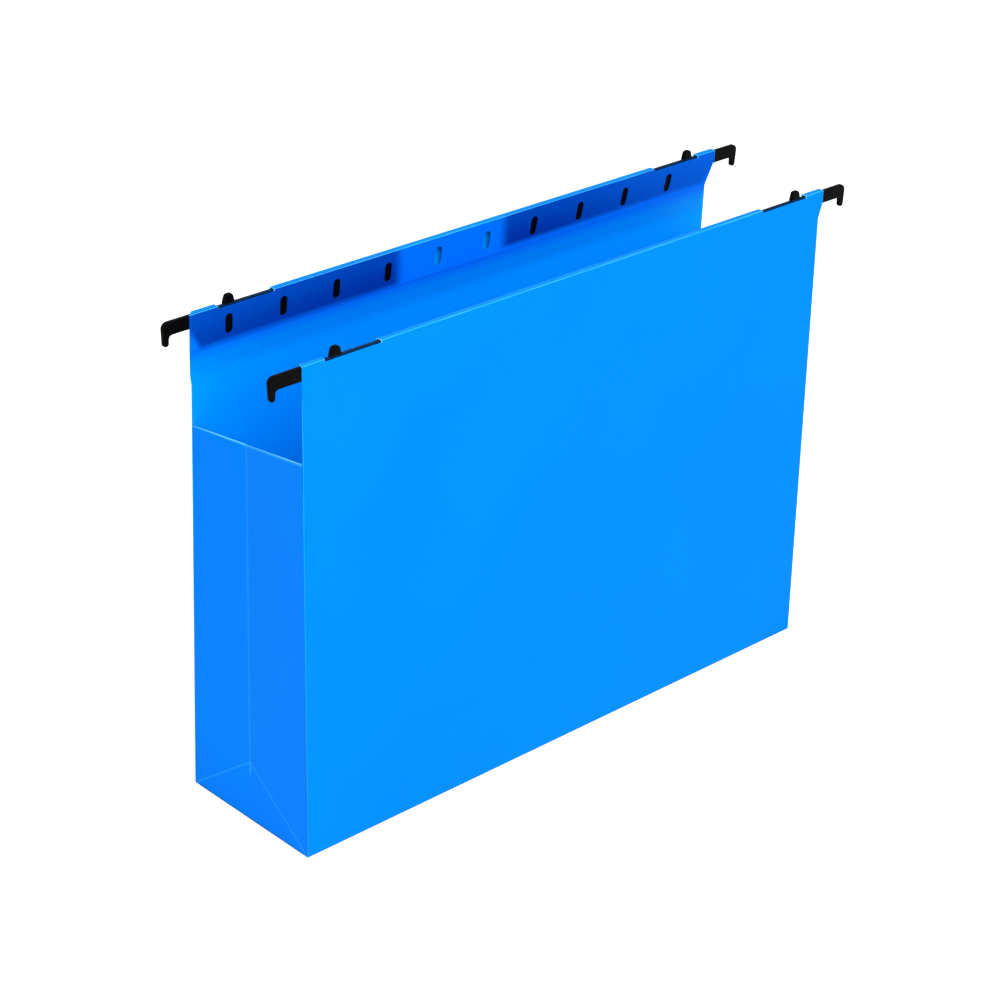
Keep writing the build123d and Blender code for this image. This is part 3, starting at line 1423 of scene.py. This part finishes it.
@dataclass
class Studio:
    """White sweep, soft lights and the camera of the photograph."""

    camera_place: Triple = (-0.81268, -0.83095, 0.70072)
    right: Triple = (0.72983, -0.68295, 0.03039)
    up: Triple = (0.29099, 0.35057, 0.89018)
    lens: float = 101.81
    sensor: float = 36.0
    clip: Pair = (0.05, 50.0)
    sky: float = 0.42
    floor_tone: float = 0.7
    floor_lift: float = 0.65
    floor_size: float = 14.0
    floor_level: float = -0.0002
    clear_floor: Pair = (700.0, 2600.0)
    lights: Sequence[SoftLight] = (
        SoftLight("key_light", (-1.15, -1.95, 1.85), (0.0, 0.0, 0.15), size=1.8, power=47.0),
        SoftLight("top_fill", (0.0, -1.0, 2.4), (0.0, 0.0, 0.15), size=1.4, power=44.0),
        SoftLight("side_fill", (-2.0, -0.5, 1.2), (0.0, 0.0, 0.12), size=1.2, power=6.0),
    )

    def build_camera(self) -> None:
        """Makes the camera and puts it in use."""
        data = bpy.data.cameras.new("studio_camera")
        data.lens, data.sensor_width, data.sensor_fit = self.lens, self.sensor, "HORIZONTAL"
        data.clip_start, data.clip_end = self.clip
        right, up = Vector(self.right), Vector(self.up)
        turn = Matrix((right, up, right.cross(up))).transposed().to_4x4()
        camera = add_object("studio_camera", data)
        camera.matrix_world = Matrix.Translation(self.camera_place) @ turn
        bpy.context.scene.camera = camera

    def build_sky(self) -> None:
        """Gives plain white surroundings, shown white to the camera and in reflections."""
        board = Board(bpy.data.worlds.new("studio_sky"))
        colour = board.blend(board.seen(), (self.sky,) * 3, WHITE)
        bpy.context.scene.world = board.close(board.node("ShaderNodeBackground", None, {"Color": colour}))

    def build_floor(self) -> None:
        """Lays the pale floor, which keeps the folder's soft shadow."""
        half, level = self.floor_size / 2, self.floor_level
        data = bpy.data.meshes.new("studio_floor")
        corners = [(-half, -half, level), (half, -half, level), (half, half, level), (-half, half, level)]
        data.from_pydata(corners, [], [(0, 1, 2, 3)])
        board = Board.for_material("studio_floor_white")
        paper = board.node("ShaderNodeBsdfDiffuse", None, {"Color": (self.floor_tone,) * 3})
        x, y, _ = board.axes(board.place())
        far = abs(x).most(abs(y)).rise(*self.clear_floor)
        shown = board.blend(far, (self.floor_lift,) * 3, WHITE)
        light = board.blend(board.seen(), BLACK, shown)
        lift = board.node("ShaderNodeEmission", None, {"Color": light})
        both = board.node("ShaderNodeAddShader", None, {0: board.out(paper), 1: board.out(lift)})
        data.materials.append(board.close(both))
        floor = add_object("studio_floor", data)

    def build(self) -> None:
        """Sets up the whole studio."""
        bpy.context.scene.view_settings.view_transform = "Standard"
        self.build_camera()
        self.build_sky()
        self.build_floor()
        for light in self.lights:
            light.build()


def main() -> None:
    """Builds the studio and then the folder, piece by piece."""
    logging.basicConfig(level=logging.INFO, format="%(message)s")
    Studio().build()
    sheet = SheetFinish()
    cut_edge = CutEdgeFinish().make("sheet_cut_edge")
    bright_edge = BrightEdgeFinish().make("sheet_bright_edge")
    foot_shade = FootShadeFinish().make("sheet_foot")
    fold = FoldFinish().make("sheet_fold")
    black = RunnerFinish().make("runner_moulded_black")
    panel_face = sheet.make("sheet_panel", paint_inner_light=True)
    base_face = sheet.make("sheet_base", Draw.ALONG)
    gusset_face = sheet.make("sheet_gusset", scores=GussetScores())
    # Where each hem's painted runner shade starts, how much painted light lightens it towards the outer end,
    # and how far it spreads.
    contacts = {
        Hand.LEFT: Contact(inner=45.0, lift=0.08, spread=4.5),
        Hand.RIGHT: Contact(inner=18.0, lift=0.4, clear=1.3),
    }
    for side in Side:
        runners = [Runner(side, hand) for hand in Hand]
        shade = ShowThrough([(runner, runner.build(black), contacts[runner.hand]) for runner in runners])
        hem_face = sheet.make(f"sheet_{side.label}_hem", Draw.ALONG, paint_inner_light=True, shade=shade)
        folded = FoldedSide(side)
        folded.build_panel([panel_face, cut_edge, foot_shade])
        folded.build_hem([hem_face, bright_edge, fold])
        BoxBottom(side).build([base_face, foot_shade])
        for hand in Hand:
            GussetCorner(side, hand).build([gusset_face, bright_edge, foot_shade])


if __name__ == "__main__":
    main()
